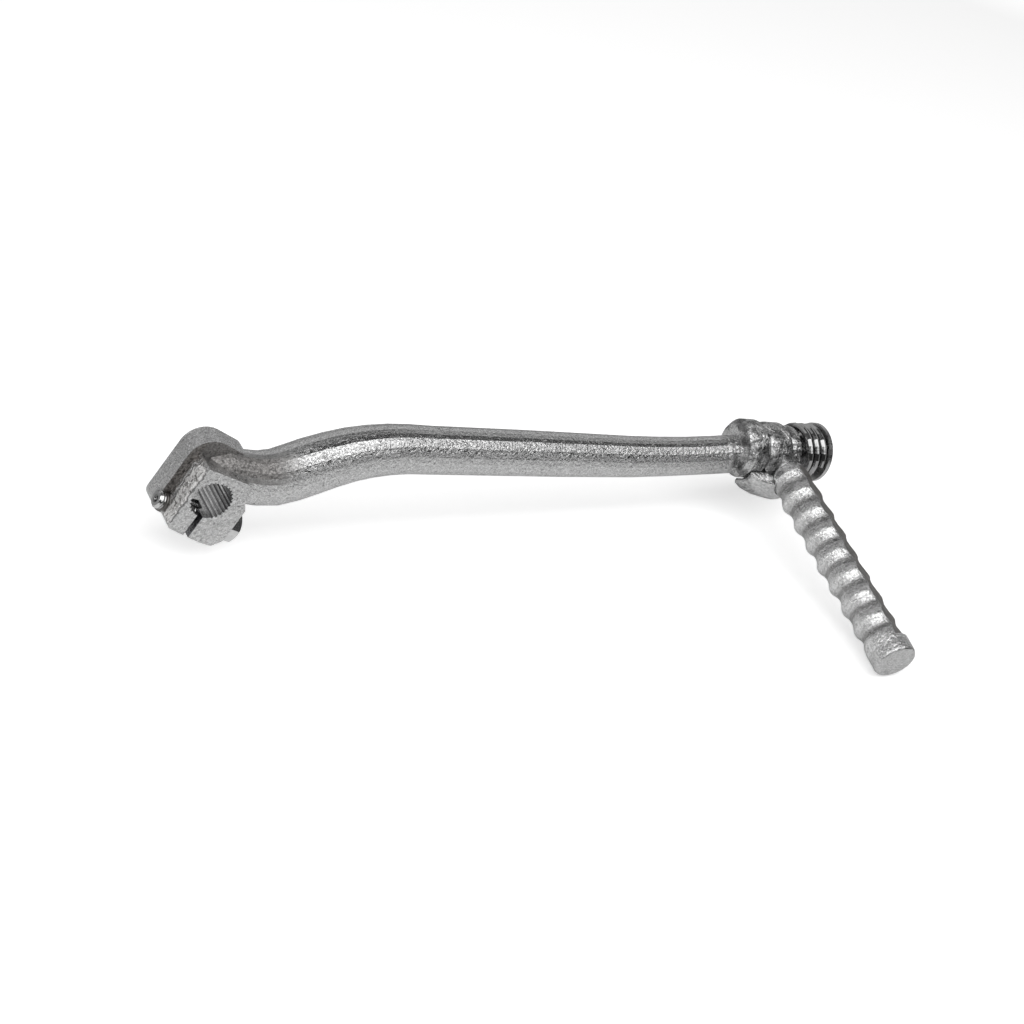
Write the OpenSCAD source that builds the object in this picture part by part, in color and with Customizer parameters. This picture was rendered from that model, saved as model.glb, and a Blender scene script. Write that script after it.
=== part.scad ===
// Kick start lever with a splined pinch clamp, a bent round arm and a fold-out ribbed pedal.
// Origin at the middle of the splined bore. X runs along the arm, Y inboard along the shaft, Z up.

/* [Clamp] */
// radius of the bore over the spline crests
bore_r = 6.8; // [6.5:0.1:7.1]
// depth of each spline groove
spline_depth = 0.5; // [0.4:0.1:0.7]
// number of spline grooves on a whole turn
spline_count = 30; // [24:1:36]
// thickness of the clamp boss along the shaft
boss_w = 17; // [15:0.5:20]
// thickness of the taller inboard part of the boss
dome_w = 8.6; // [8:0.2:9.4]
// tilt of the boss below the arm line
boss_tilt = 25.6; // [20:0.2:30]
// width of the clamping slit
slit_w = 2; // [1.4:0.1:2.6]

/* [Pinch bolt] */
// radius of the pinch bolt shank
bolt_r = 3; // [2.5:0.1:3.2]
// clearance between the bolt and the shaft in the bore
bolt_clear = 0.05; // [0.05:0.05:0.4]
// place of the bolt axis along the shaft
bolt_y = -1; // [-1.6:0.1:0]
// width of the hexagon across flats
hex_af = 10; // [9.6:0.1:10.4]
// height of the hexagon
hex_h = 4.4; // [3.8:0.1:4.8]

/* [Arm] */
// half height of the arm at its thickest, past the boss
arm_r_root = 9.2; // [8.6:0.1:9.6]
// half height of the arm in the middle
arm_r_mid = 8; // [7.4:0.1:8.6]
// half height of the arm at the joint
arm_r_end = 6.9; // [6.2:0.1:7.4]
// height of the bend above the bore axis
arm_rise = 10.4; // [8:0.1:12]
// side width of the arm as a share of its height
arm_flat = 0.96; // [0.85:0.01:1]
// distance from the bore to the datum of the joint
reach = 200.4; // [160:0.2:240]
// height of the joint axis above the bore axis, at its datum
joint_rise = 3.4; // [2.6:0.1:3.8]

/* [Joint] */
// tilt of the joint axis to the arm line
joint_tilt = -6.5; // [-8:0.5:-5]
// radius of the collar on the arm
collar_r = 11; // [10.6:0.1:11.4]
// length of the collar
collar_l = 9.6; // [9:0.2:11]
// radius of the spindle that carries the pedal
spindle_r = 6; // [5.5:0.1:6.2]
// radial running clearance of the pedal on the spindle
run_gap = 0.05; // [0.02:0.01:0.08]
// gap between moving faces
face_gap = 0.3; // [0.3:0.05:0.5]

/* [Pedal] */
// radius of the pedal hub
hub_r = 10.4; // [10:0.1:10.7]
// length of the pedal hub along the joint axis
hub_l = 15.2; // [15:0.2:16.4]
// droop of the pedal below the shaft direction
pedal_droop = 11; // [8:0.5:14]
// length of the pedal from the joint axis
pedal_l = 102; // [90:0.5:110]
// radius over the ribs
rib_r = 8; // [7.6:0.1:8.4]
// depth between the ribs
rib_depth = 1.3; // [0.8:0.1:1.6]
// number of ribs
rib_count = 7; // [6:1:8]

/* [Spring] */
// radius of the spring wire
wire_r = 1.35; // [1.2:0.05:1.5]
// outer radius of the spring
spring_r = 10.8; // [10.2:0.1:11]
// free turns of the spring
spring_turns = 2.75; // [2.5:0.25:3]
// thickness of the end washer
washer_t = 1.6; // [1.2:0.1:2]
// radius of the end washer
washer_r = 11.2; // [10.8:0.1:11.4]

/* [Hidden] */
$fn = 48;
boss_half = boss_w / 2;
slide_gap = 0.05;
collar_start = 7.2;
hub_start = collar_start + collar_l + face_gap;
hub_end = hub_start + hub_l;
spring_start = hub_end + face_gap;
spring_len = 11.4;
washer_start = spring_start + spring_len + 0.02;
ring_start = washer_start + washer_t + 0.02;
ring_t = 1.2;
ring_r = 7.6;
ring_depth = 0.7;
spindle_end = ring_start + ring_t + 1.4;
bolt_hole_r = bolt_r + slide_gap;
bolt_drop = bore_r + bolt_r + bolt_clear;
wall_left = -11.8;
wall_near = 11.7;
wall_right = 14.6;
near_left = -9.8;
bolt_relief_r = bolt_r + 1.2;
hex_r = hex_af / 2 / cos(30);
hex_turn = 14;
pedal_mid = hub_start + 8.9;

// places a child on the joint axis, its own Z along the axis
module on_joint(u) {
  translate([reach, 0, joint_rise])
    rotate([0, 90 - joint_tilt, 0])
      translate([0, 0, u])
        children();
}

// places a child in the tilted axes of the boss
module on_boss() {
  rotate([0, boss_tilt, 0])
    children();
}

// a plate in the boss axes, drawn as t across and s up, between two places on Y
module boss_plate(pts, y0, y1) {
  translate([0, y1, 0])
    rotate([90, 0, 0])
      linear_extrude(height = y1 - y0)
        polygon(pts);
}

function arc_pts(cx, cy, r, a0, a1, n) = [for (i = [0 : n]) [cx + r * cos(a0 + (a1 - a0) * i / n), cy + r * sin(a0 + (a1 - a0) * i / n)]];

near_outline = concat(
  [[near_left, 7.6], [near_left + 0.9, -11.2]],
  arc_pts(-6.4, -12.4, 2.2, 190, 260, 4),
  [[5.8, -15.8]],
  arc_pts(wall_near - 2.1, -13.6, 2.1, 280, 355, 4),
  [[wall_near, 6.6]],
  arc_pts(7, 6, 4.2, 20, 100, 5),
  [[-7.6, 10.2]]
);

dome_outline = concat(
  [[wall_left, 7], [wall_left, -9.5]],
  arc_pts(wall_left + 3.4, -11, 3.4, 185, 262, 5),
  [[4, -15.6]],
  arc_pts(wall_right - 3.4, -12, 3.4, 275, 358, 5),
  [[wall_right, 0], [wall_right - 0.8, 5]],
  arc_pts(4.6, 8.4, 7.4, 22, 76, 6),
  arc_pts(-3.4, 8.2, 8.4, 84, 175, 8)
);

// the seat of the bolt head, between the near face and the inboard part
seat_outline = concat(
  [[2, -15.2]],
  arc_pts(wall_right - 3.4, -12, 3.4, 275, 358, 5),
  [[wall_right, 0], [wall_near, 4], [2, 4]]
);

// past the bend the stations stretch with the reach
bend_end = 64;
arm_model_end = 208;
function along(x) = x < bend_end ? x : bend_end + (x - bend_end) * (reach + collar_start + 0.4 - bend_end) / (arm_model_end - bend_end);

// place along X, height, half height, half width and side shift of the arm at its stations
arm_st = [
  [0, 4.5, 7, 5.2, 2.2],
  [6, 4, 8.6, 6.8, 1.4],
  [12, 2.4, 9, 7.4, 0.8],
  [18, 1.4, 9.2, 7.8, 0.4],
  [24, 1.6, 9.6, 8.2, 0],
  [30, 3.2, 9.7, 8.6, 0],
  [36, 5.3, 9.6, 8.8, 0],
  [43, 7.5, arm_r_root, 8.8, 0],
  [50, 9.2, 8.9, 8.6, 0],
  [57, 10.1, 8.6, 8.4, 0],
  [64, arm_rise, 8.4, 8.2, 0],
  [71, 10.1, 8.2, 8, 0],
  [80, 9.1, arm_r_mid + 0.1, 7.8, 0],
  [98, 7.4, arm_r_mid, 7.7, 0],
  [115, 5.8, arm_r_mid - 0.1, 7.6, 0],
  [131, 4.2, arm_r_mid - 0.2, 7.4, 0],
  [147, 2.7, arm_r_mid - 0.45, 7.2, 0],
  [162, 1.3, arm_r_mid - 0.7, 7, 0],
  [175, 0.5, arm_r_end + 0.15, 6.8, 0],
  [187, 0, arm_r_end, 6.6, 0],
  [198, -0.2, arm_r_end, 6.6, 0],
  [208, -0.3, arm_r_end, 6.6, 0]
];
arm_n = 28;
arm_k = len(arm_st);
function ring_slope(i) = (arm_st[min(i + 1, arm_k - 1)][1] - arm_st[max(i - 1, 0)][1]) / (arm_st[min(i + 1, arm_k - 1)][0] - arm_st[max(i - 1, 0)][0]);
function super(v) = sign(v) * pow(abs(v), 0.86);
arm_pts = [for (i = [0 : arm_k - 1]) for (j = [0 : arm_n - 1])
  let (a = 360 * j / arm_n, g = ring_slope(i), q = sqrt(1 + g * g), h = arm_st[i][2] * super(sin(a)), w = arm_st[i][3] * super(cos(a)))
  [along(arm_st[i][0]) - h * g / q, arm_st[i][4] + w, arm_st[i][1] + h / q]];
arm_faces = concat(
  [[for (j = [0 : arm_n - 1]) j]],
  [for (i = [0 : arm_k - 2]) for (j = [0 : arm_n - 1])
    let (n = (j + 1) % arm_n, a = i * arm_n, b = (i + 1) * arm_n)
    [a + j, b + j, b + n, a + n]],
  [[for (j = [arm_n - 1 : -1 : 0]) (arm_k - 1) * arm_n + j]]
);

module spline_cut() {
  rotate([90, 0, 0])
    cylinder(r = bore_r, h = boss_w + 2, center = true);
  for (i = [0 : spline_count - 1])
    if (abs(i * 360 / spline_count - 180) > 34)
      rotate([0, i * 360 / spline_count, 0])
        translate([0, 0, bore_r])
          rotate([90, 0, 0])
            linear_extrude(height = boss_w + 2, center = true)
              polygon([[-0.5, -0.4], [0.5, -0.4], [0.24, spline_depth], [-0.24, spline_depth]]);
}

module arm() {
  color([0.78, 0.78, 0.79])
    difference() {
      union() {
        on_boss()
          boss_plate(near_outline, -boss_half, boss_half);
        on_boss()
          boss_plate(dome_outline, boss_half - dome_w, boss_half);
        on_boss()
          boss_plate(seat_outline, bolt_y - hex_r - 0.3, boss_half);
        polyhedron(points = arm_pts, faces = arm_faces, convexity = 6);
        on_joint(0)
          rotate_extrude($fn = 64)
            polygon([[0, collar_start], [collar_r - 1.6, collar_start], [collar_r, collar_start + 2.2],
              [collar_r, collar_start + collar_l - 2.2], [collar_r - 1.2, collar_start + collar_l], [spindle_r, collar_start + collar_l],
              [spindle_r, ring_start], [spindle_r - ring_depth, ring_start], [spindle_r - ring_depth, ring_start + ring_t],
              [spindle_r, ring_start + ring_t], [spindle_r, spindle_end - 0.8], [spindle_r - 0.8, spindle_end], [0, spindle_end]]);
      }
      on_boss()
        spline_cut();
      on_boss()
        translate([-slit_w / 2, -boss_half - 1, -20])
          cube([slit_w, boss_w + 2, 20 - bore_r + 1]);
      on_boss()
        translate([0, bolt_y, -bolt_drop])
          rotate([0, 90, 0])
            union() {
              cylinder(r = bolt_hole_r, h = 60, center = true);
              translate([0, 0, -3.8])
                cylinder(r = bolt_relief_r, h = 6.6);
            }
    }
}

module pinch_bolt() {
  color([0.6, 0.6, 0.62])
    on_boss()
      translate([0, bolt_y, -bolt_drop])
        rotate([0, 90, 0])
          union() {
            rotate_extrude()
              polygon([[0, wall_left - 0.2], [1.1, wall_left - 1], [bolt_r - 0.6, wall_left - 1], [bolt_r, wall_left - 0.4],
                [bolt_r, wall_right + 1], [0, wall_right + 1]]);
            intersection() {
              translate([0, 0, wall_right])
                rotate([0, 0, hex_turn])
                  cylinder(r = hex_r, h = hex_h, $fn = 6);
              translate([0, 0, wall_right])
                rotate_extrude()
                  polygon([[0, -1], [hex_r + 1.1, -1], [hex_r + 1.1, hex_h - 1.4], [hex_r - 1.1, hex_h], [hex_r - 1.1, hex_h + 1], [0, hex_h + 1]]);
            }
          }
}

peg_root = hub_r + 0.8;
neck_r = min(pedal_mid - hub_start, hub_end - pedal_mid) - 0.2;
rib_start = 20.5;
peg_end_l = 12;
rib_pitch = (pedal_l - peg_end_l - rib_start) / rib_count;
peg_steps = 8;
rib_floor = rib_r - rib_depth;
peg_profile = concat(
  [[0, 1], [neck_r, 1], [neck_r, peg_root], [rib_r - 0.3, rib_start - 4.4], [rib_floor, rib_start]],
  [for (i = [1 : rib_count * peg_steps])
    [rib_r - rib_depth * pow(0.5 + 0.5 * cos(360 * i / peg_steps), 1.9), rib_start + i * rib_pitch / peg_steps]],
  [[rib_r - 0.3, pedal_l - peg_end_l + 2.4], [rib_r + 0.1, pedal_l - peg_end_l + 5], [rib_r + 0.1, pedal_l - 1.6],
    [rib_r - 0.3, pedal_l - 0.5], [rib_r - 1.2, pedal_l], [0, pedal_l]]
);
lug_in = collar_r + face_gap + 0.1;
lug_mid = 40;
lug_half = 23;
lug_start = collar_start + 2.2;
lug_grow = 7.4;
hub_inside = hub_r - 2.7;
// directions round the joint are measured from outboard, down being positive
module round_joint(a) {
  rotate([0, 0, a])
    children();
}

module pedal() {
  color([0.76, 0.76, 0.77])
    difference() {
      union() {
        on_joint(hub_start)
          rotate_extrude($fn = 64)
            polygon([[spindle_r - 1, 0], [hub_r - 1.3, 0], [hub_r - 0.2, 1.8], [hub_r, 3.4], [hub_r, hub_l - 6.4], [hub_r - 0.4, hub_l - 5.4], [hub_r - 1.6, hub_l - 4.2],
              [hub_r - 1, hub_l - 2.8], [hub_r - 1, hub_l - 0.5], [hub_r - 1.5, hub_l], [spindle_r - 1, hub_l]]);
        on_joint(pedal_mid)
          round_joint(pedal_droop)
            rotate([90, 0, 0])
              rotate_extrude($fn = 48)
                polygon(peg_profile);
        on_joint(0)
          round_joint(lug_mid - lug_half)
            rotate([0, 0, -90])
              rotate_extrude(angle = 2 * lug_half, $fn = 64)
                polygon([[lug_in, lug_start + 0.5], [lug_in + 0.8, lug_start], [lug_in + 1.7, lug_start],
                  [lug_in + 3.6, lug_start + 2.6], [lug_in + lug_grow - 1.7, lug_start + 8], [lug_in + lug_grow - 0.8, hub_start + 4.6],
                  [lug_in + lug_grow, hub_start + 9], [hub_inside, hub_start + 12], [hub_inside, hub_start + 0.4],
                  [lug_in, hub_start + 0.1]]);
      }
      on_joint(hub_start - 1)
        cylinder(r = spindle_r + run_gap, h = hub_l + 2, $fn = 64);
    }
}

coil_n = 12;
coil_step = 24;
coil_k = floor(spring_turns * coil_step);
coil_r = spring_r - wire_r;
coil_rise = spring_len - 2 * wire_r;
coil_pts = [for (i = [0 : coil_k]) for (j = [0 : coil_n - 1])
  let (a = 360 * i / coil_step, b = 360 * j / coil_n, r = coil_r + wire_r * cos(b))
  [r * cos(a), r * sin(a), wire_r + coil_rise * i / coil_k + wire_r * sin(b)]];
coil_faces = concat(
  [[for (j = [0 : coil_n - 1]) j]],
  [for (i = [0 : coil_k - 1]) for (j = [0 : coil_n - 1])
    let (n = (j + 1) % coil_n, a = i * coil_n, b = (i + 1) * coil_n)
    [a + j, b + j, b + n, a + n]],
  [[for (j = [coil_n - 1 : -1 : 0]) coil_k * coil_n + j]]
);

module spring() {
  color([0.35, 0.35, 0.37])
    on_joint(spring_start)
      polyhedron(points = coil_pts, faces = coil_faces, convexity = 8);
}

module end_washer() {
  color([0.7, 0.7, 0.72])
    on_joint(washer_start)
      difference() {
        cylinder(r = washer_r, h = washer_t, $fn = 64);
        translate([0, 0, -1])
          cylinder(r = spindle_r + slide_gap, h = washer_t + 2, $fn = 64);
      }
}

module circlip() {
  color([0.4, 0.4, 0.42])
    on_joint(ring_start + 0.04)
      difference() {
        cylinder(r = ring_r, h = ring_t - 0.08, $fn = 48);
        translate([0, 0, -1])
          cylinder(r = spindle_r - ring_depth + 0.03, h = ring_t + 2, $fn = 48);
        translate([0, -1.6, -1])
          cube([ring_r + 2, 3.2, ring_t + 2]);
      }
}

arm();
pedal();
pinch_bolt();
spring();
end_washer();
circlip();
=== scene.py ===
import math

import bmesh
import bpy
import numpy as np
from mathutils import Matrix, Vector, noise

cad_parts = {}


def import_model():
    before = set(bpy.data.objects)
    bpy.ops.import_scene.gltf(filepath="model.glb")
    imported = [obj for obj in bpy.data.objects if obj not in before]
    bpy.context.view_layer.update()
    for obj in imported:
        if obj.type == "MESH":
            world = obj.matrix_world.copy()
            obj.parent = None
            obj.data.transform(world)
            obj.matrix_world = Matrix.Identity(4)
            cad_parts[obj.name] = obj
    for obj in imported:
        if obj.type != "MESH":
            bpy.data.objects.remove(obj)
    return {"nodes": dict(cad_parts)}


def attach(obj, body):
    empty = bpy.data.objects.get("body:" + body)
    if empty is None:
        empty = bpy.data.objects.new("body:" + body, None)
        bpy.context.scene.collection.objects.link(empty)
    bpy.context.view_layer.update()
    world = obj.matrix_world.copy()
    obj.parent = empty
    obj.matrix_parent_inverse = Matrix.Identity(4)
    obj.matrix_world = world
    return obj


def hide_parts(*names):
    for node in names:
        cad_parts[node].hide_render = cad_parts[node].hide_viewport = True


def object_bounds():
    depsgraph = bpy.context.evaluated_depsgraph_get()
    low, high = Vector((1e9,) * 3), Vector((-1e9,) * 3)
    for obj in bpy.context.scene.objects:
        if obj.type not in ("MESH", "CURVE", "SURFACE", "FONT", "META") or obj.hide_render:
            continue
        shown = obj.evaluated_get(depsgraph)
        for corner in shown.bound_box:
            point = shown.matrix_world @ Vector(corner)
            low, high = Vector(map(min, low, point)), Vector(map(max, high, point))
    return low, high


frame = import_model()
cad_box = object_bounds()
nodes = frame["nodes"]
scene = bpy.context.scene

# Lengths are in metres throughout. A pair such as (start, end) is where a mask
# begins and where it is full.

# Camera: the photograph's view. RIM is the outboard rim of the bore.
FOCAL_PX = 2000.0
PICTURE_PX = 1024.0
SENSOR_MM = 36.0
DEPTH = 0.64065
RIGHT = Vector((0.8767, -0.4148, 0.2438))
BACK = Vector((-0.4768, -0.6816, 0.5550))
RIM = Vector((0.0, -0.0085, 0.0))
RIM_PX = (211.5, 501.0)

# Floor: white to the camera; for reflections, a painted pool of light round the arm, darker further out.
FLOOR_HALF = 6.0
FLOOR_GAP = 0.0004
POOL_X = 0.11
POOL_HALF = 0.13
POOL_Y = 0.03
POOL_SCALE = 2.0
PAINTED_LIGHT_POOL = [(0.0, 0.95), (0.2, 0.85), (0.45, 0.3), (1.0, 0.15)]
FLOOR_WHITE = 0.9
FLOOR_LIFT = 0.5
FLOOR_FAR = (0.35, 1.1)

# Room: the grey wall behind, and the dim side in front.
REAR_WALL = [(0.0, 0.4), (0.15, 0.6), (0.52, 0.6), (0.63, 0.11), (1.0, 0.1)]
FRONT_SIDE = [(0.0, 0.04), (0.45, 0.06), (1.0, 0.05)]
REAR_BLEND = [(0.05, 0.0), (0.35, 1.0)]
WALL_LEAN = 0.35
WALL_DROP = 0.165

# Lamps: name, place, width, height, watts.
LAMPS = [
    ("key_soft", (0.1, -0.49, 0.93), 1.7, 0.96, 11.6),
    ("left_soft", (-0.9, -0.1, 0.45), 0.6, 0.4, 2.0),
]
LAMP_AIM = (0.1, 0, 0)

# Boss axes, and the peg's place on the joint, as in the part's source.
BOSS_T = (0.902, -0.432)
BOSS_S = (0.432, 0.902)
BOLT_DROP = 0.00985
BOLT_SIDE = 0.001
JOINT = Vector((0.2004, 0.0, 0.0034))
JOINT_TILT = math.radians(-6.5)
PEG_AT = 0.026
PEG_DROOP = math.radians(11.0)
PEG_LEN = 0.102

# Grip.
GRIP_START = 0.0112
NECK_R = 0.0061
NECK_END = 0.0161
RIB_R = 0.008
RIB_DEPTH = 0.0013
RIB_START = 0.0205
RIB_COUNT = 7
PEG_END = 0.012
WAVES_END = PEG_LEN - PEG_END
RIB_PITCH = (WAVES_END - RIB_START) / RIB_COUNT
SEAM_TURN = math.radians(155.0)
SEAM_R = RIB_R - 0.0017
SEAM_BEFORE = 0.007
SEAM_AFTER = 0.005
GRIP_TURNS = 116
RING_STEP = 0.00042
END_RINGS = 16

# Places on the clamp: across and up are measured along the boss axes.
SLIT_HALF = 0.0011
SLIT_UP = (-0.03, -0.0062)
SLIT_BACK = (0.009, 0.0086)
BORE_R = 0.0078
BORE_HALF = 0.0083
GROOVE_R = (0.00685, 0.00715)
SEAT_R = (0.0042, 0.0034)
SEAT_AT = (-0.0102, -0.0106)
WALL_EDGE = (-0.0069, -0.0072)
WALL_Y = (-0.0088, -0.0001)
TORN_Y = (-0.0009, -0.0017)
HOLLOW_Y = (-0.0009, 0.0011)
LIP_EDGE = (-0.0063, -0.0066)
LIP_Y = (-0.0081, -0.0084)
LIP_UP = (-0.0125, 0.0085)
CLAMP_X = (0.034, 0.02)
SHELF_Y = (-0.0006, 0.0006)
ROOT_AT = (-0.0085, -0.0075)

# Places along the bar, on the hub and on the grip.
BAR_END = (0.204, 0.2)
GRIP_X = (0.2, 0.204)
GRIP_Y = (-0.0105, -0.0125)
JOINT_X = (0.2015, 0.2045)
JOINT_Y = (-0.0145, -0.0115)

# Places along the bolt.
SHANK_AT = (0.0142, 0.0138)
STUB_AT = (-0.0108, -0.0068)
SHANK_END = (-0.0116, -0.0112)
CORE_R = (0.0016, 0.0011)
CORE_AT = (-0.011, -0.0114)
THREAD_TURNS = 6283.2  # radians a metre: one turn a millimetre


def grey(value):
    return (value, value, value, 1)


class Net:
    """Adds and links shader nodes in one node tree."""

    def __init__(self, tree):
        self.tree = tree

    def add(self, kind, **values):
        n = self.tree.nodes.new(kind)
        for key, value in values.items():
            setattr(n, key, value)
        return n

    def link(self, a, b):
        self.tree.links.new(a, b)

    def feed(self, value, socket):
        """A plain number or colour goes on the socket itself, and an output is linked."""
        if isinstance(value, (int, float, tuple)):
            socket.default_value = value
        else:
            self.link(value, socket)

    def split(self, vector):
        n = self.add("ShaderNodeSeparateXYZ")
        self.link(vector, n.inputs[0])
        return n.outputs["X"], n.outputs["Y"], n.outputs["Z"]

    def camera_ray(self):
        return self.add("ShaderNodeLightPath").outputs["Is Camera Ray"]

    def noise(self, scale, detail=4.0, rough=0.55, distort=0.0):
        n = self.add("ShaderNodeTexNoise")
        n.inputs["Scale"].default_value = scale
        n.inputs["Detail"].default_value = detail
        n.inputs["Roughness"].default_value = rough
        n.inputs["Distortion"].default_value = distort
        self.link(self.pos, n.inputs["Vector"])
        return n.outputs["Fac"]

    def voronoi(self, scale, feature):
        n = self.add("ShaderNodeTexVoronoi", feature=feature)
        n.inputs["Scale"].default_value = scale
        self.link(self.pos, n.inputs["Vector"])
        return n.outputs["Distance"]

    def ramp(self, fac, stops):
        n = self.add("ShaderNodeValToRGB")
        el = n.color_ramp.elements
        while len(el) < len(stops):
            el.new(0.5)
        for e, (at, value) in zip(el, stops):
            e.position = at
            e.color = value if isinstance(value, tuple) else grey(value)
        self.link(fac, n.inputs["Fac"])
        return n.outputs["Color"]

    def math(self, op, a, b=0.0):
        n = self.add("ShaderNodeMath", operation=op)
        self.feed(a, n.inputs[0])
        self.feed(b, n.inputs[1])
        return n.outputs[0]

    def product(self, first, *others):
        for value in others:
            first = self.math("MULTIPLY", first, value)
        return first

    def total(self, first, *others):
        for value in others:
            first = self.math("ADD", first, value)
        return first

    def less(self, mask, share=1.0):
        """1 less a share of the mask."""
        return self.math("SUBTRACT", 1.0, self.product(mask, share))

    def length(self, a, b):
        return self.math("SQRT", self.total(self.product(a, a), self.product(b, b)))

    def along(self, a, b, axis):
        return self.total(self.product(a, axis[0]), self.product(b, axis[1]))

    def step(self, value, start, end):
        """0 before start, 1 past end, and smooth between; end may be the lower one."""
        n = self.add("ShaderNodeMapRange", interpolation_type="SMOOTHSTEP")
        self.link(value, n.inputs["Value"])
        n.inputs["From Min"].default_value = min(start, end)
        n.inputs["From Max"].default_value = max(start, end)
        n.inputs["To Min"].default_value = 0.0 if end > start else 1.0
        n.inputs["To Max"].default_value = 1.0 if end > start else 0.0
        return n.outputs["Result"]

    def band(self, value, low, high, soft=0.0001):
        return self.product(self.step(value, low - soft, low), self.step(value, high + soft, high))

    def mix(self, fac, a, b, blend="MIX"):
        n = self.add("ShaderNodeMix", data_type="RGBA", blend_type=blend)
        for name, value in (("Factor", fac), ("A", a), ("B", b)):
            self.feed(value, n.inputs[name])
        return n.outputs["Result"]

    def bump(self, height, distance, strength=1.0, after=None):
        n = self.add("ShaderNodeBump")
        n.inputs["Strength"].default_value = strength
        n.inputs["Distance"].default_value = distance
        self.link(height, n.inputs["Height"])
        if after is not None:
            self.link(after, n.inputs["Normal"])
        return n.outputs["Normal"]


class Skin(Net):
    """A material's node tree, with its shader and its object coordinates."""

    def __init__(self, name):
        self.mat = bpy.data.materials.new(name)
        self.mat.use_nodes = True
        super().__init__(self.mat.node_tree)
        self.bsdf = self.tree.nodes["Principled BSDF"]
        coord = self.add("ShaderNodeTexCoord")
        self.pos = coord.outputs["Object"]
        self.normal = coord.outputs["Normal"]

    def put(self, name, value):
        """Set or link one of the shader's inputs."""
        self.feed(value, self.bsdf.inputs[name])


def camera():
    back = BACK.normalized()
    right = (RIGHT - back * RIGHT.dot(back)).normalized()
    up = back.cross(right)
    cx = (RIM_PX[0] - PICTURE_PX / 2) / FOCAL_PX * DEPTH
    cy = (PICTURE_PX / 2 - RIM_PX[1]) / FOCAL_PX * DEPTH
    place = RIM - right * cx - up * cy + back * DEPTH
    data = bpy.data.cameras.new("photo_view")
    data.sensor_width = SENSOR_MM
    data.lens = SENSOR_MM * FOCAL_PX / PICTURE_PX
    data.clip_start = 0.01
    data.clip_end = 20.0
    cam = bpy.data.objects.new("photo_view", data)
    rows = [(right[k], up[k], back[k], place[k]) for k in range(3)]
    cam.matrix_world = Matrix(rows + [(0, 0, 0, 1)])
    scene.collection.objects.link(cam)
    scene.camera = cam


def floor():
    """White to the camera, and for reflections a painted pool of light: pale round the arm and darker
    further out.
    """
    low = cad_box[0][2] - FLOOR_GAP
    corners = [(-1, -1), (1, -1), (1, 1), (-1, 1)]
    mesh = bpy.data.meshes.new("floor")
    mesh.from_pydata([(a * FLOOR_HALF, b * FLOOR_HALF, low) for a, b in corners], [], [(0, 1, 2, 3)])
    obj = bpy.data.objects.new("floor", mesh)
    scene.collection.objects.link(obj)

    n = Skin("floor_paper")
    x, y, _ = n.split(n.pos)
    off_x = n.math("ABSOLUTE", n.math("SUBTRACT", x, POOL_X))
    away_x = n.math("MAXIMUM", n.math("SUBTRACT", off_x, POOL_HALF), 0.0)
    away_y = n.math("ABSOLUTE", n.total(y, POOL_Y))
    away = n.length(away_y, away_x)
    seen = n.camera_ray()
    # painted pool of light: the floor's colour for reflections darkens away from the arm
    painted_pool = n.ramp(n.product(away, POOL_SCALE), PAINTED_LIGHT_POOL)
    n.put("Base Color", n.mix(seen, painted_pool, grey(FLOOR_WHITE)))
    n.put("Roughness", 0.9)
    n.put("Specular IOR Level", 0.0)
    n.put("Emission Color", grey(1))
    lift = n.math("MAXIMUM", n.step(away, *FLOOR_FAR), FLOOR_LIFT)
    n.put("Emission Strength", n.product(seen, lift))
    mesh.materials.append(n.mat)


def lamp(name, place, width, height, watts):
    data = bpy.data.lights.new(name, "AREA")
    data.shape = "RECTANGLE"
    data.size = width
    data.size_y = height
    data.energy = watts
    obj = bpy.data.objects.new(name, data)
    obj.location = place
    obj.rotation_euler = (Vector(LAMP_AIM) - Vector(place)).to_track_quat("-Z", "Y").to_euler()
    scene.collection.objects.link(obj)


def world():
    """A dim room with a grey wall behind the part and dark above and in front."""
    room = bpy.data.worlds.new("studio")
    room.use_nodes = True
    n = Net(room.node_tree)
    x, y, z = n.split(n.add("ShaderNodeTexCoord").outputs["Generated"])
    # the wall stands higher on the left, over the clamp
    height = n.math("SUBTRACT", n.total(n.product(x, WALL_LEAN), z), WALL_DROP)
    front = n.ramp(z, FRONT_SIDE)
    rear = n.ramp(height, REAR_WALL)
    sides = n.mix(n.ramp(y, REAR_BLEND), front, rear)
    background = n.tree.nodes["Background"]
    n.feed(n.mix(n.camera_ray(), sides, grey(1)), background.inputs["Color"])
    n.feed(1.0, background.inputs["Strength"])
    scene.world = room


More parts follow.
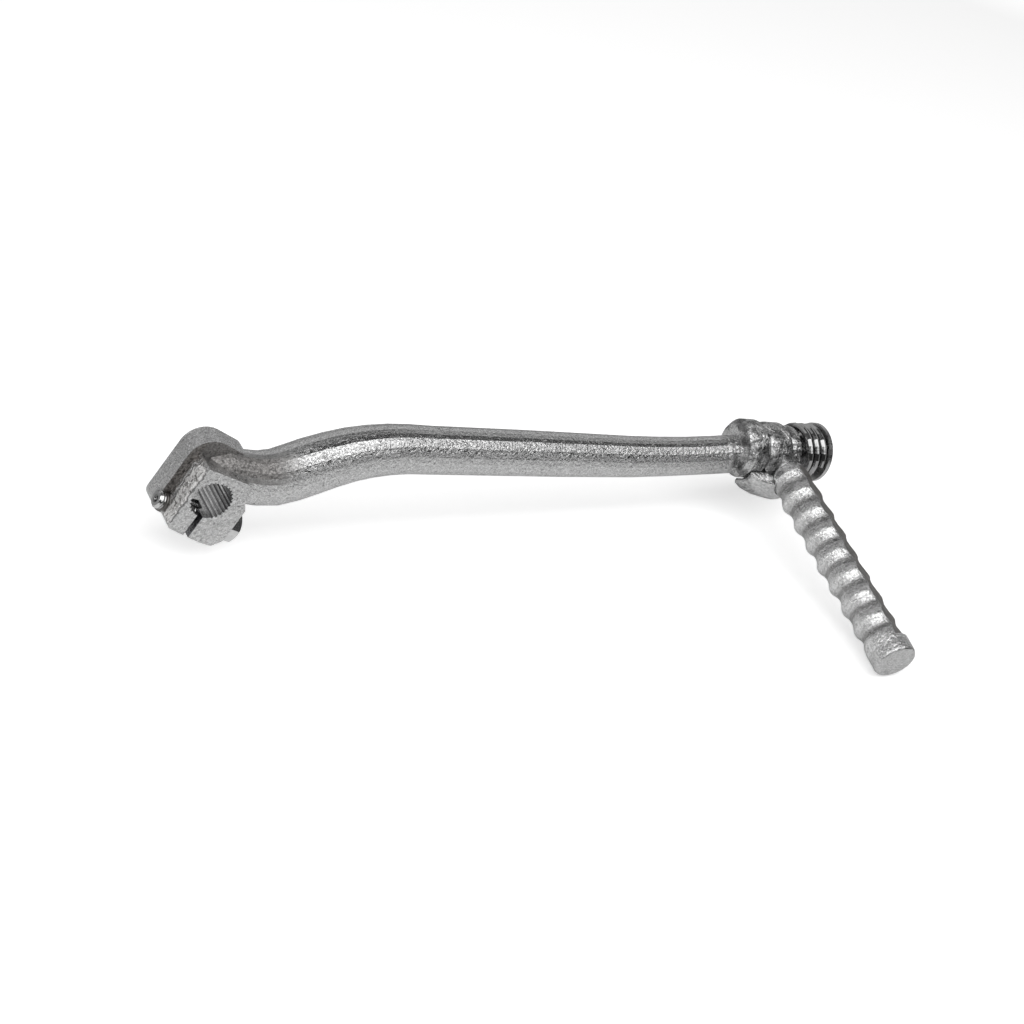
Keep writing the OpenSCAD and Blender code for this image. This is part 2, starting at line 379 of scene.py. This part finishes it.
def clamp_places(n, x, y, z, facing):
    """Masks for the places on the clamp that look different from the plain skin."""
    _, facing_y, facing_z = facing
    across = n.along(x, z, BOSS_T)
    up = n.along(x, z, BOSS_S)
    radius = n.length(x, z)
    at = {}
    # the bore, between its two faces, and its grooves
    at["inside"] = n.product(n.band(radius, 0.0, BORE_R), n.band(y, -BORE_HALF, BORE_HALF))
    at["groove"] = n.product(at["inside"], n.step(radius, *GROOVE_R))
    in_slit = n.band(n.math("ABSOLUTE", across), -0.001, SLIT_HALF + 0.00004)
    at["slit"] = n.product(in_slit, n.band(up, *SLIT_UP), n.step(y, *SLIT_BACK))
    bolt_far = n.length(n.total(up, BOLT_DROP), n.total(y, BOLT_SIDE))
    at["seat"] = n.product(n.step(bolt_far, *SEAT_R), n.step(across, *SEAT_AT))
    # the rough wall beside the near face: a torn edge with painted glints, then a hollow with painted
    # brownish shade, and a painted shadow line on the near face beside the edge
    ragged = n.total(y, n.product(n.noise(330.0, 3.0, 0.6), 0.0045))
    edge = n.total(across, n.product(n.noise(420.0, 3.0, 0.7), 0.0026))
    wall = n.product(n.step(edge, *WALL_EDGE), n.band(y, *WALL_Y))
    at["torn"] = n.product(wall, n.step(ragged, *TORN_Y))
    at["hollow"] = n.product(wall, n.step(ragged, *HOLLOW_Y))
    near = n.product(n.step(y, *LIP_Y), n.band(up, *LIP_UP))
    # painted shadow line on the near face, along the rough wall's edge
    at["lip"] = n.product(n.step(edge, *LIP_EDGE), n.less(wall), near)
    # the shelf between the plates, and the arm's root above the near plate where it faces up, are dull,
    # with brown scale and painted shade
    at["clamp"] = n.step(x, *CLAMP_X)
    shelf = n.product(n.step(facing_y, -0.85, -0.95), at["clamp"], n.band(y, *SHELF_Y))
    turned = n.product(n.step(facing_z, 0.12, 0.35), n.step(facing_y, -0.02, -0.2))
    root = n.product(at["clamp"], turned, n.step(across, *ROOT_AT))
    at["dull"] = n.math("MAXIMUM", shelf, root)
    return at


def grip_places(n, x, y, z, grip):
    """Masks for the valleys and the crests of the grip's waves."""
    start, way, _, _ = peg_axes()
    parts = [n.product(n.math("SUBTRACT", v, start[k]), way[k]) for k, v in enumerate((x, y, z))]
    far = n.total(*parts)
    turn = n.product(n.math("SUBTRACT", far, RIB_START), 2 * math.pi / RIB_PITCH)
    wave = n.math("COSINE", turn)
    on_waves = n.band(far, RIB_START - 0.004, WAVES_END + 0.002)
    valley = n.product(n.step(wave, 0.55, 1.0), on_waves, grip)
    crest = n.product(n.step(wave, 0.3, -0.5), grip)
    return valley, crest


def forging(name, tone):
    """Rough forging under thin bright plating: orange peel, lumps and scattered pits."""
    n = Skin(name)
    x, y, z = n.split(n.pos)
    facing = n.split(n.normal)
    at = clamp_places(n, x, y, z, facing)
    on_top = n.product(n.step(facing[2], 0.8, 0.94), n.step(x, *BAR_END))
    grip = n.product(n.step(x, *GRIP_X), n.step(y, *GRIP_Y))
    joint = n.product(n.step(x, *JOINT_X), n.step(y, *JOINT_Y))
    valley, crest = grip_places(n, x, y, z, grip)

    # colour of the plain skin
    pits = n.ramp(n.noise(520.0, 4.0, 0.7), [(0.3, 0.0), (0.4, 1.0)])
    grime = n.ramp(n.noise(1500.0, 5.0, 0.75), [(0.32, tone * 0.74), (0.6, tone)])
    speck = n.ramp(n.noise(1700.0, 2.0, 0.7), [(0.38, 0.68), (0.62, 1.1)])
    shade = n.mix(1.0, n.mix(0.45, grime, pits, "MULTIPLY"), speck, "MULTIPLY")
    # brown scale with painted shade on the shelf and the root, painted brownish shade in the hollow, and
    # painted glints on the torn edge
    scale = [(0.4, (0.1, 0.094, 0.09, 1)), (0.6, (0.36, 0.345, 0.335, 1))]
    hollow_shade = [(0.4, (0.1, 0.092, 0.088, 1)), (0.6, (0.42, 0.4, 0.385, 1))]
    painted_glints = [(0.39, (0.13, 0.122, 0.116, 1)), (0.46, (0.66, 0.65, 0.64, 1)), (0.51, (1.0, 0.99, 0.98, 1))]
    # random dark patches on the hub's lumps, painted to stand for dark reflections, and wear on the grip's
    # crests
    dark_reflection_patches = n.ramp(n.noise(230.0, 3.0, 0.6, 0.5), [(0.44, 0.38), (0.56, 1.0)])
    worn = n.ramp(n.noise(1100.0, 3.0, 0.7), [(0.4, 0.6), (0.56, 1.0)])
    # brown scale with painted shade on the shelf and the upward-facing root
    shade = n.mix(n.product(at["dull"], 0.85), shade, n.ramp(n.noise(1300.0, 3.0, 0.75), scale))
    # painted shadow line beside the torn edge
    shade = n.mix(n.product(at["lip"], 0.75), shade, (0.1, 0.098, 0.096, 1))
    # painted brownish shade in the hollow
    shade = n.mix(n.product(at["hollow"], 0.85), shade, n.ramp(n.noise(900.0, 3.0, 0.7), hollow_shade))
    # painted glints: bright flakes on the torn edge
    shade = n.mix(n.product(at["torn"], 0.95), shade, n.ramp(n.noise(700.0, 4.0, 0.8, 0.6), painted_glints))
    # painted shade in the bore's spline grooves
    shade = n.mix(n.product(at["groove"], 0.5), shade, (0.06, 0.06, 0.065, 1))
    # painted dark reflections on the hub, in random patches
    shade = n.mix(joint, shade, n.mix(1.0, shade, dark_reflection_patches, "MULTIPLY"))
    shade = n.mix(n.product(crest, 0.5), shade, worn)
    # painted shade in the grip's valleys
    shade = n.mix(n.product(valley, 0.5), shade, (0.09, 0.086, 0.083, 1))
    # painted shade in the clamp's slit
    shade = n.mix(n.product(at["slit"], 0.8), shade, (0.1, 0.1, 0.11, 1))
    # painted shade in a ring round the bolt's end on the plate's outer face
    shade = n.mix(n.product(at["seat"], 0.5), shade, grey(0.16))
    n.put("Base Color", shade)
    # less metal on the torn edge, so that its painted glints show
    n.put("Metallic", n.less(at["torn"], 0.42))

    rough = n.ramp(n.noise(380.0, 5.0, 0.6), [(0.3, 0.07), (0.7, 0.17)])
    rough = n.mix(n.product(at["clamp"], 0.45), rough, grey(0.42))
    rough = n.mix(at["dull"], rough, grey(0.5))
    rough = n.mix(n.math("MAXIMUM", at["torn"], at["inside"]), rough, grey(0.2))
    n.put("Roughness", rough)

    # the skin is smoother on top, where the bar was rubbed, than on its sides
    quiet = n.product(n.less(at["inside"], 0.85), n.less(on_top, 0.55))
    broken = n.math("MAXIMUM", at["torn"], n.product(at["hollow"], 0.6))
    skin = n.bump(n.product(n.noise(170.0, 3.0, 0.5), quiet), 0.0006, 0.3)
    skin = n.bump(n.product(n.noise(165.0, 2.0, 0.45, 0.3), joint), 0.0024, 0.7, skin)
    skin = n.bump(n.product(n.noise(900.0, 4.0, 0.64, 0.4), quiet), 0.0006, 0.75, skin)
    skin = n.bump(n.product(n.voronoi(900.0, "SMOOTH_F1"), quiet), 0.0002, 0.5, skin)
    skin = n.bump(n.product(pits, quiet), 0.00018, 0.6, skin)
    skin = n.bump(n.product(n.noise(620.0, 3.0, 0.6, 1.2), broken), 0.0012, 0.9, skin)
    n.put("Normal", skin)
    return n.mat


def bright(name, tone, rough_low, rough_high, grain):
    """Plated small part with a faint grain; grain is its depth in tenths of a millimetre."""
    n = Skin(name)
    n.put("Metallic", 1.0)
    n.put("Base Color", n.ramp(n.noise(300.0, 5.0, 0.6), [(0.3, tone * 0.7), (0.65, tone)]))
    n.put("Roughness", n.ramp(n.noise(500.0, 4.0, 0.6), [(0.3, rough_low), (0.7, rough_high)]))
    n.put("Normal", n.bump(n.noise(900.0, 4.0, 0.6), 0.0001 * grain, 0.6))
    return n.mat


def shaded_seam_skin(name):
    """Where the seam was ground off: dull, with a dark, slightly warm colour that is painted shade of the
    flank turned from the light.
    """
    n = Skin(name)
    patch = n.noise(420.0, 4.0, 0.65)
    n.put("Metallic", 1.0)
    # painted shade: the ground flank's dark colour
    n.put("Base Color", n.ramp(patch, [(0.3, (0.13, 0.122, 0.117, 1)), (0.7, (0.33, 0.318, 0.31, 1))]))
    n.put("Roughness", n.ramp(patch, [(0.3, 0.4), (0.7, 0.6)]))
    n.put("Normal", n.bump(n.noise(900.0, 4.0, 0.7, 0.8), 0.0005, 0.7))
    return n.mat


def thread(name, tone):
    """Bright bolt steel: thread on the shank, painted shade on the shank inside the clamp, painted
    brownish shade on the stub between the plates, and a painted dark end centre.
    """
    n = Skin(name)
    x, y, z = n.split(n.pos)
    along = n.along(x, z, BOSS_T)
    far = n.length(n.total(n.along(x, z, BOSS_S), BOLT_DROP), n.total(y, BOLT_SIDE))
    shank = n.step(along, *SHANK_AT)
    stub = n.band(along, *STUB_AT)
    core = n.product(n.step(far, *CORE_R), n.step(along, *CORE_AT))
    shade = n.ramp(n.noise(700.0, 4.0, 0.6), [(0.3, tone * 0.8), (0.65, tone)])
    # painted shade on the shank inside the clamp
    shade = n.mix(n.product(shank, n.step(along, *SHANK_END), 0.5), shade, grey(0.2))
    # painted brownish shade on the stub between the plates
    shade = n.mix(n.product(stub, 0.85), shade, (0.13, 0.12, 0.113, 1))
    # painted shade in the centre of the bolt's end
    shade = n.mix(n.product(core, 0.8), shade, grey(0.08))
    rough = n.ramp(n.noise(500.0, 4.0, 0.6), [(0.3, 0.12), (0.7, 0.24)])
    turn = n.math("SINE", n.product(along, THREAD_TURNS))
    cut = n.bump(n.product(turn, shank, 0.5), 0.00025, 0.9)
    n.put("Metallic", 1.0)
    n.put("Base Color", shade)
    n.put("Roughness", n.mix(stub, rough, grey(0.5)))
    n.put("Normal", n.bump(n.noise(800.0, 3.0, 0.5), 0.00006, 0.5, cut))
    return n.mat


def peg_axes():
    """The peg's own frame: its start, its direction, and the two directions across it."""
    along = Vector((math.cos(JOINT_TILT), 0.0, math.sin(JOINT_TILT)))
    down = Vector((math.sin(JOINT_TILT), 0.0, -math.cos(JOINT_TILT)))
    out = Vector((0.0, -1.0, 0.0))
    way = out * math.cos(PEG_DROOP) + down * math.sin(PEG_DROOP)
    side = down * math.cos(PEG_DROOP) - out * math.sin(PEG_DROOP)
    return JOINT + along * PEG_AT, way, side, along


def peg_radius(z):
    """Radius of the grip at a distance from the joint: neck, waves, end collar."""
    root = RIB_R - RIB_DEPTH
    if z < RIB_START:
        neck = [NECK_R, NECK_R, RIB_R - 0.0003, root]
        return float(np.interp(z, [0.0, GRIP_START, NECK_END, RIB_START], neck))
    if z < WAVES_END:
        i = (z - RIB_START) / RIB_PITCH
        lean = 0.05 * math.sin(2 * math.pi * i)
        return RIB_R - RIB_DEPTH * (0.5 + 0.5 * math.cos(2 * math.pi * (i - lean)))
    profile = [
        (WAVES_END, root),
        (WAVES_END + 0.0024, RIB_R - 0.0003),
        (WAVES_END + 0.005, RIB_R + 0.0001),
        (PEG_LEN - 0.0011, RIB_R + 0.0001),
        (PEG_LEN - 0.0003, RIB_R - 0.0002),
        (PEG_LEN, RIB_R - 0.0007),
    ]
    return float(np.interp(z, [p[0] for p in profile], [p[1] for p in profile]))


def lump(p, scale, octaves):
    return noise.fractal(p * scale, 0.9, 2.1, octaves, noise_basis="PERLIN_ORIGINAL")


def band_of_quads(base, other, turns):
    """Faces between two rings of points, given their first indices."""
    return [(base + j, base + (j + 1) % turns, other + (j + 1) % turns, other + j) for j in range(turns)]


def grip_piece(mat, seam):
    """The forged grip: waves, the flat where the seam was ground off, and a pitted skin."""
    start, way, side, along = peg_axes()
    angles = [2 * math.pi * j / GRIP_TURNS for j in range(GRIP_TURNS)]
    shaft = np.arange(GRIP_START, PEG_LEN - 0.0018, RING_STEP)
    rim = np.linspace(PEG_LEN - 0.0016, PEG_LEN, 9)
    heights = [float(z) for z in np.concatenate([shaft, rim])]

    def point(z, a, r):
        return start + way * z + side * (r * math.cos(a)) + along * (r * math.sin(a))

    points = []
    ground = []
    faces = []
    for z in heights:
        plain = peg_radius(z)
        land = RIB_START - SEAM_BEFORE < z < WAVES_END + SEAM_AFTER
        for a in angles:
            p = point(z, a, plain)
            swing = lump(p, 95.0, 2)
            grain = lump(p, 620.0, 3)
            r = plain - 0.00012 + 0.00022 * swing + 0.00007 * grain
            lean = math.cos(a - SEAM_TURN)
            cut = (SEAM_R + 0.00016 * swing + 0.00004 * grain) / lean if land and lean > 0.2 else 1.0
            ground.append(cut < r)
            points.append(point(z, a, min(r, cut, plain)))
    last = (len(heights) - 1) * GRIP_TURNS
    for base in range(0, last, GRIP_TURNS):
        faces += band_of_quads(base, base + GRIP_TURNS, GRIP_TURNS)
    # the end face: rings towards its middle
    edge_r = peg_radius(PEG_LEN)
    for q in range(1, END_RINGS):
        share = 1.0 - q / END_RINGS
        base = len(points)
        for a in angles:
            p = point(PEG_LEN, a, edge_r * share)
            points.append(p - way * (0.00004 + 0.00006 * abs(lump(p, 500.0, 3))))
        faces += band_of_quads(last, base, GRIP_TURNS)
        last = base
    points.append(start + way * (PEG_LEN - 0.00005))
    middle = len(points) - 1
    faces += [(last + j, last + (j + 1) % GRIP_TURNS, middle) for j in range(GRIP_TURNS)]

    mesh = bpy.data.meshes.new("pedal_grip")
    mesh.from_pydata([tuple(p) for p in points], [], faces)
    mesh.polygons.foreach_set("use_smooth", [True] * len(mesh.polygons))
    mesh.materials.append(mat)
    mesh.materials.append(seam)
    on_seam = [int(sum(ground[v] for v in f if v < len(ground)) > 2) for f in faces]
    mesh.polygons.foreach_set("material_index", on_seam)
    obj = bpy.data.objects.new("pedal_grip", mesh)
    scene.collection.objects.link(obj)
    return obj


def hub_piece(mat):
    """Hub and stop lug as the CAD has them, with the plain grip's skin taken off."""
    start, way, _, _ = peg_axes()
    mesh = nodes["pedal"].data.copy()
    mesh.name = "pedal_hub"
    bm = bmesh.new()
    bm.from_mesh(mesh)
    gone = []
    for f in bm.faces:
        d = f.calc_center_median() - start
        z = d.dot(way)
        radial = d - way * z
        r = radial.length
        on_skin = abs(r - peg_radius(z)) < 0.0009 and f.normal.dot(radial.normalized()) > 0.5
        if z > GRIP_START + 0.0006 and (on_skin or z > WAVES_END):
            gone.append(f)
        elif z > RIB_START + 0.002 and r < RIB_R + 0.0005:
            gone.append(f)
    bmesh.ops.delete(bm, geom=gone, context="FACES")
    bm.to_mesh(mesh)
    bm.free()
    mesh.materials.clear()
    mesh.materials.append(mat)
    obj = bpy.data.objects.new("pedal_hub", mesh)
    scene.collection.objects.link(obj)
    return obj


def dress(node, mat):
    data = nodes[node].data
    data.materials.clear()
    data.materials.append(mat)


camera()
floor()
world()
scene.view_settings.view_transform = "Standard"
for values in LAMPS:
    lamp(*values)

plated = forging("plated_forging", 0.72)
bolt = thread("bolt_steel", 0.7)
wire = bright("spring_steel", 0.44, 0.08, 0.2, 0.45)
seam = shaded_seam_skin("ground_seam_painted_shade")
plate = bright("washer_steel", 0.55, 0.2, 0.4, 1.2)

dress("arm", plated)
dress("pedal", plated)
dress("pinch_bolt", bolt)
dress("spring", wire)
dress("end_washer", plate)
dress("circlip", wire)

for piece in (hub_piece(plated), grip_piece(plated, seam)):
    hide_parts("pedal")
    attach(piece, "pedal")
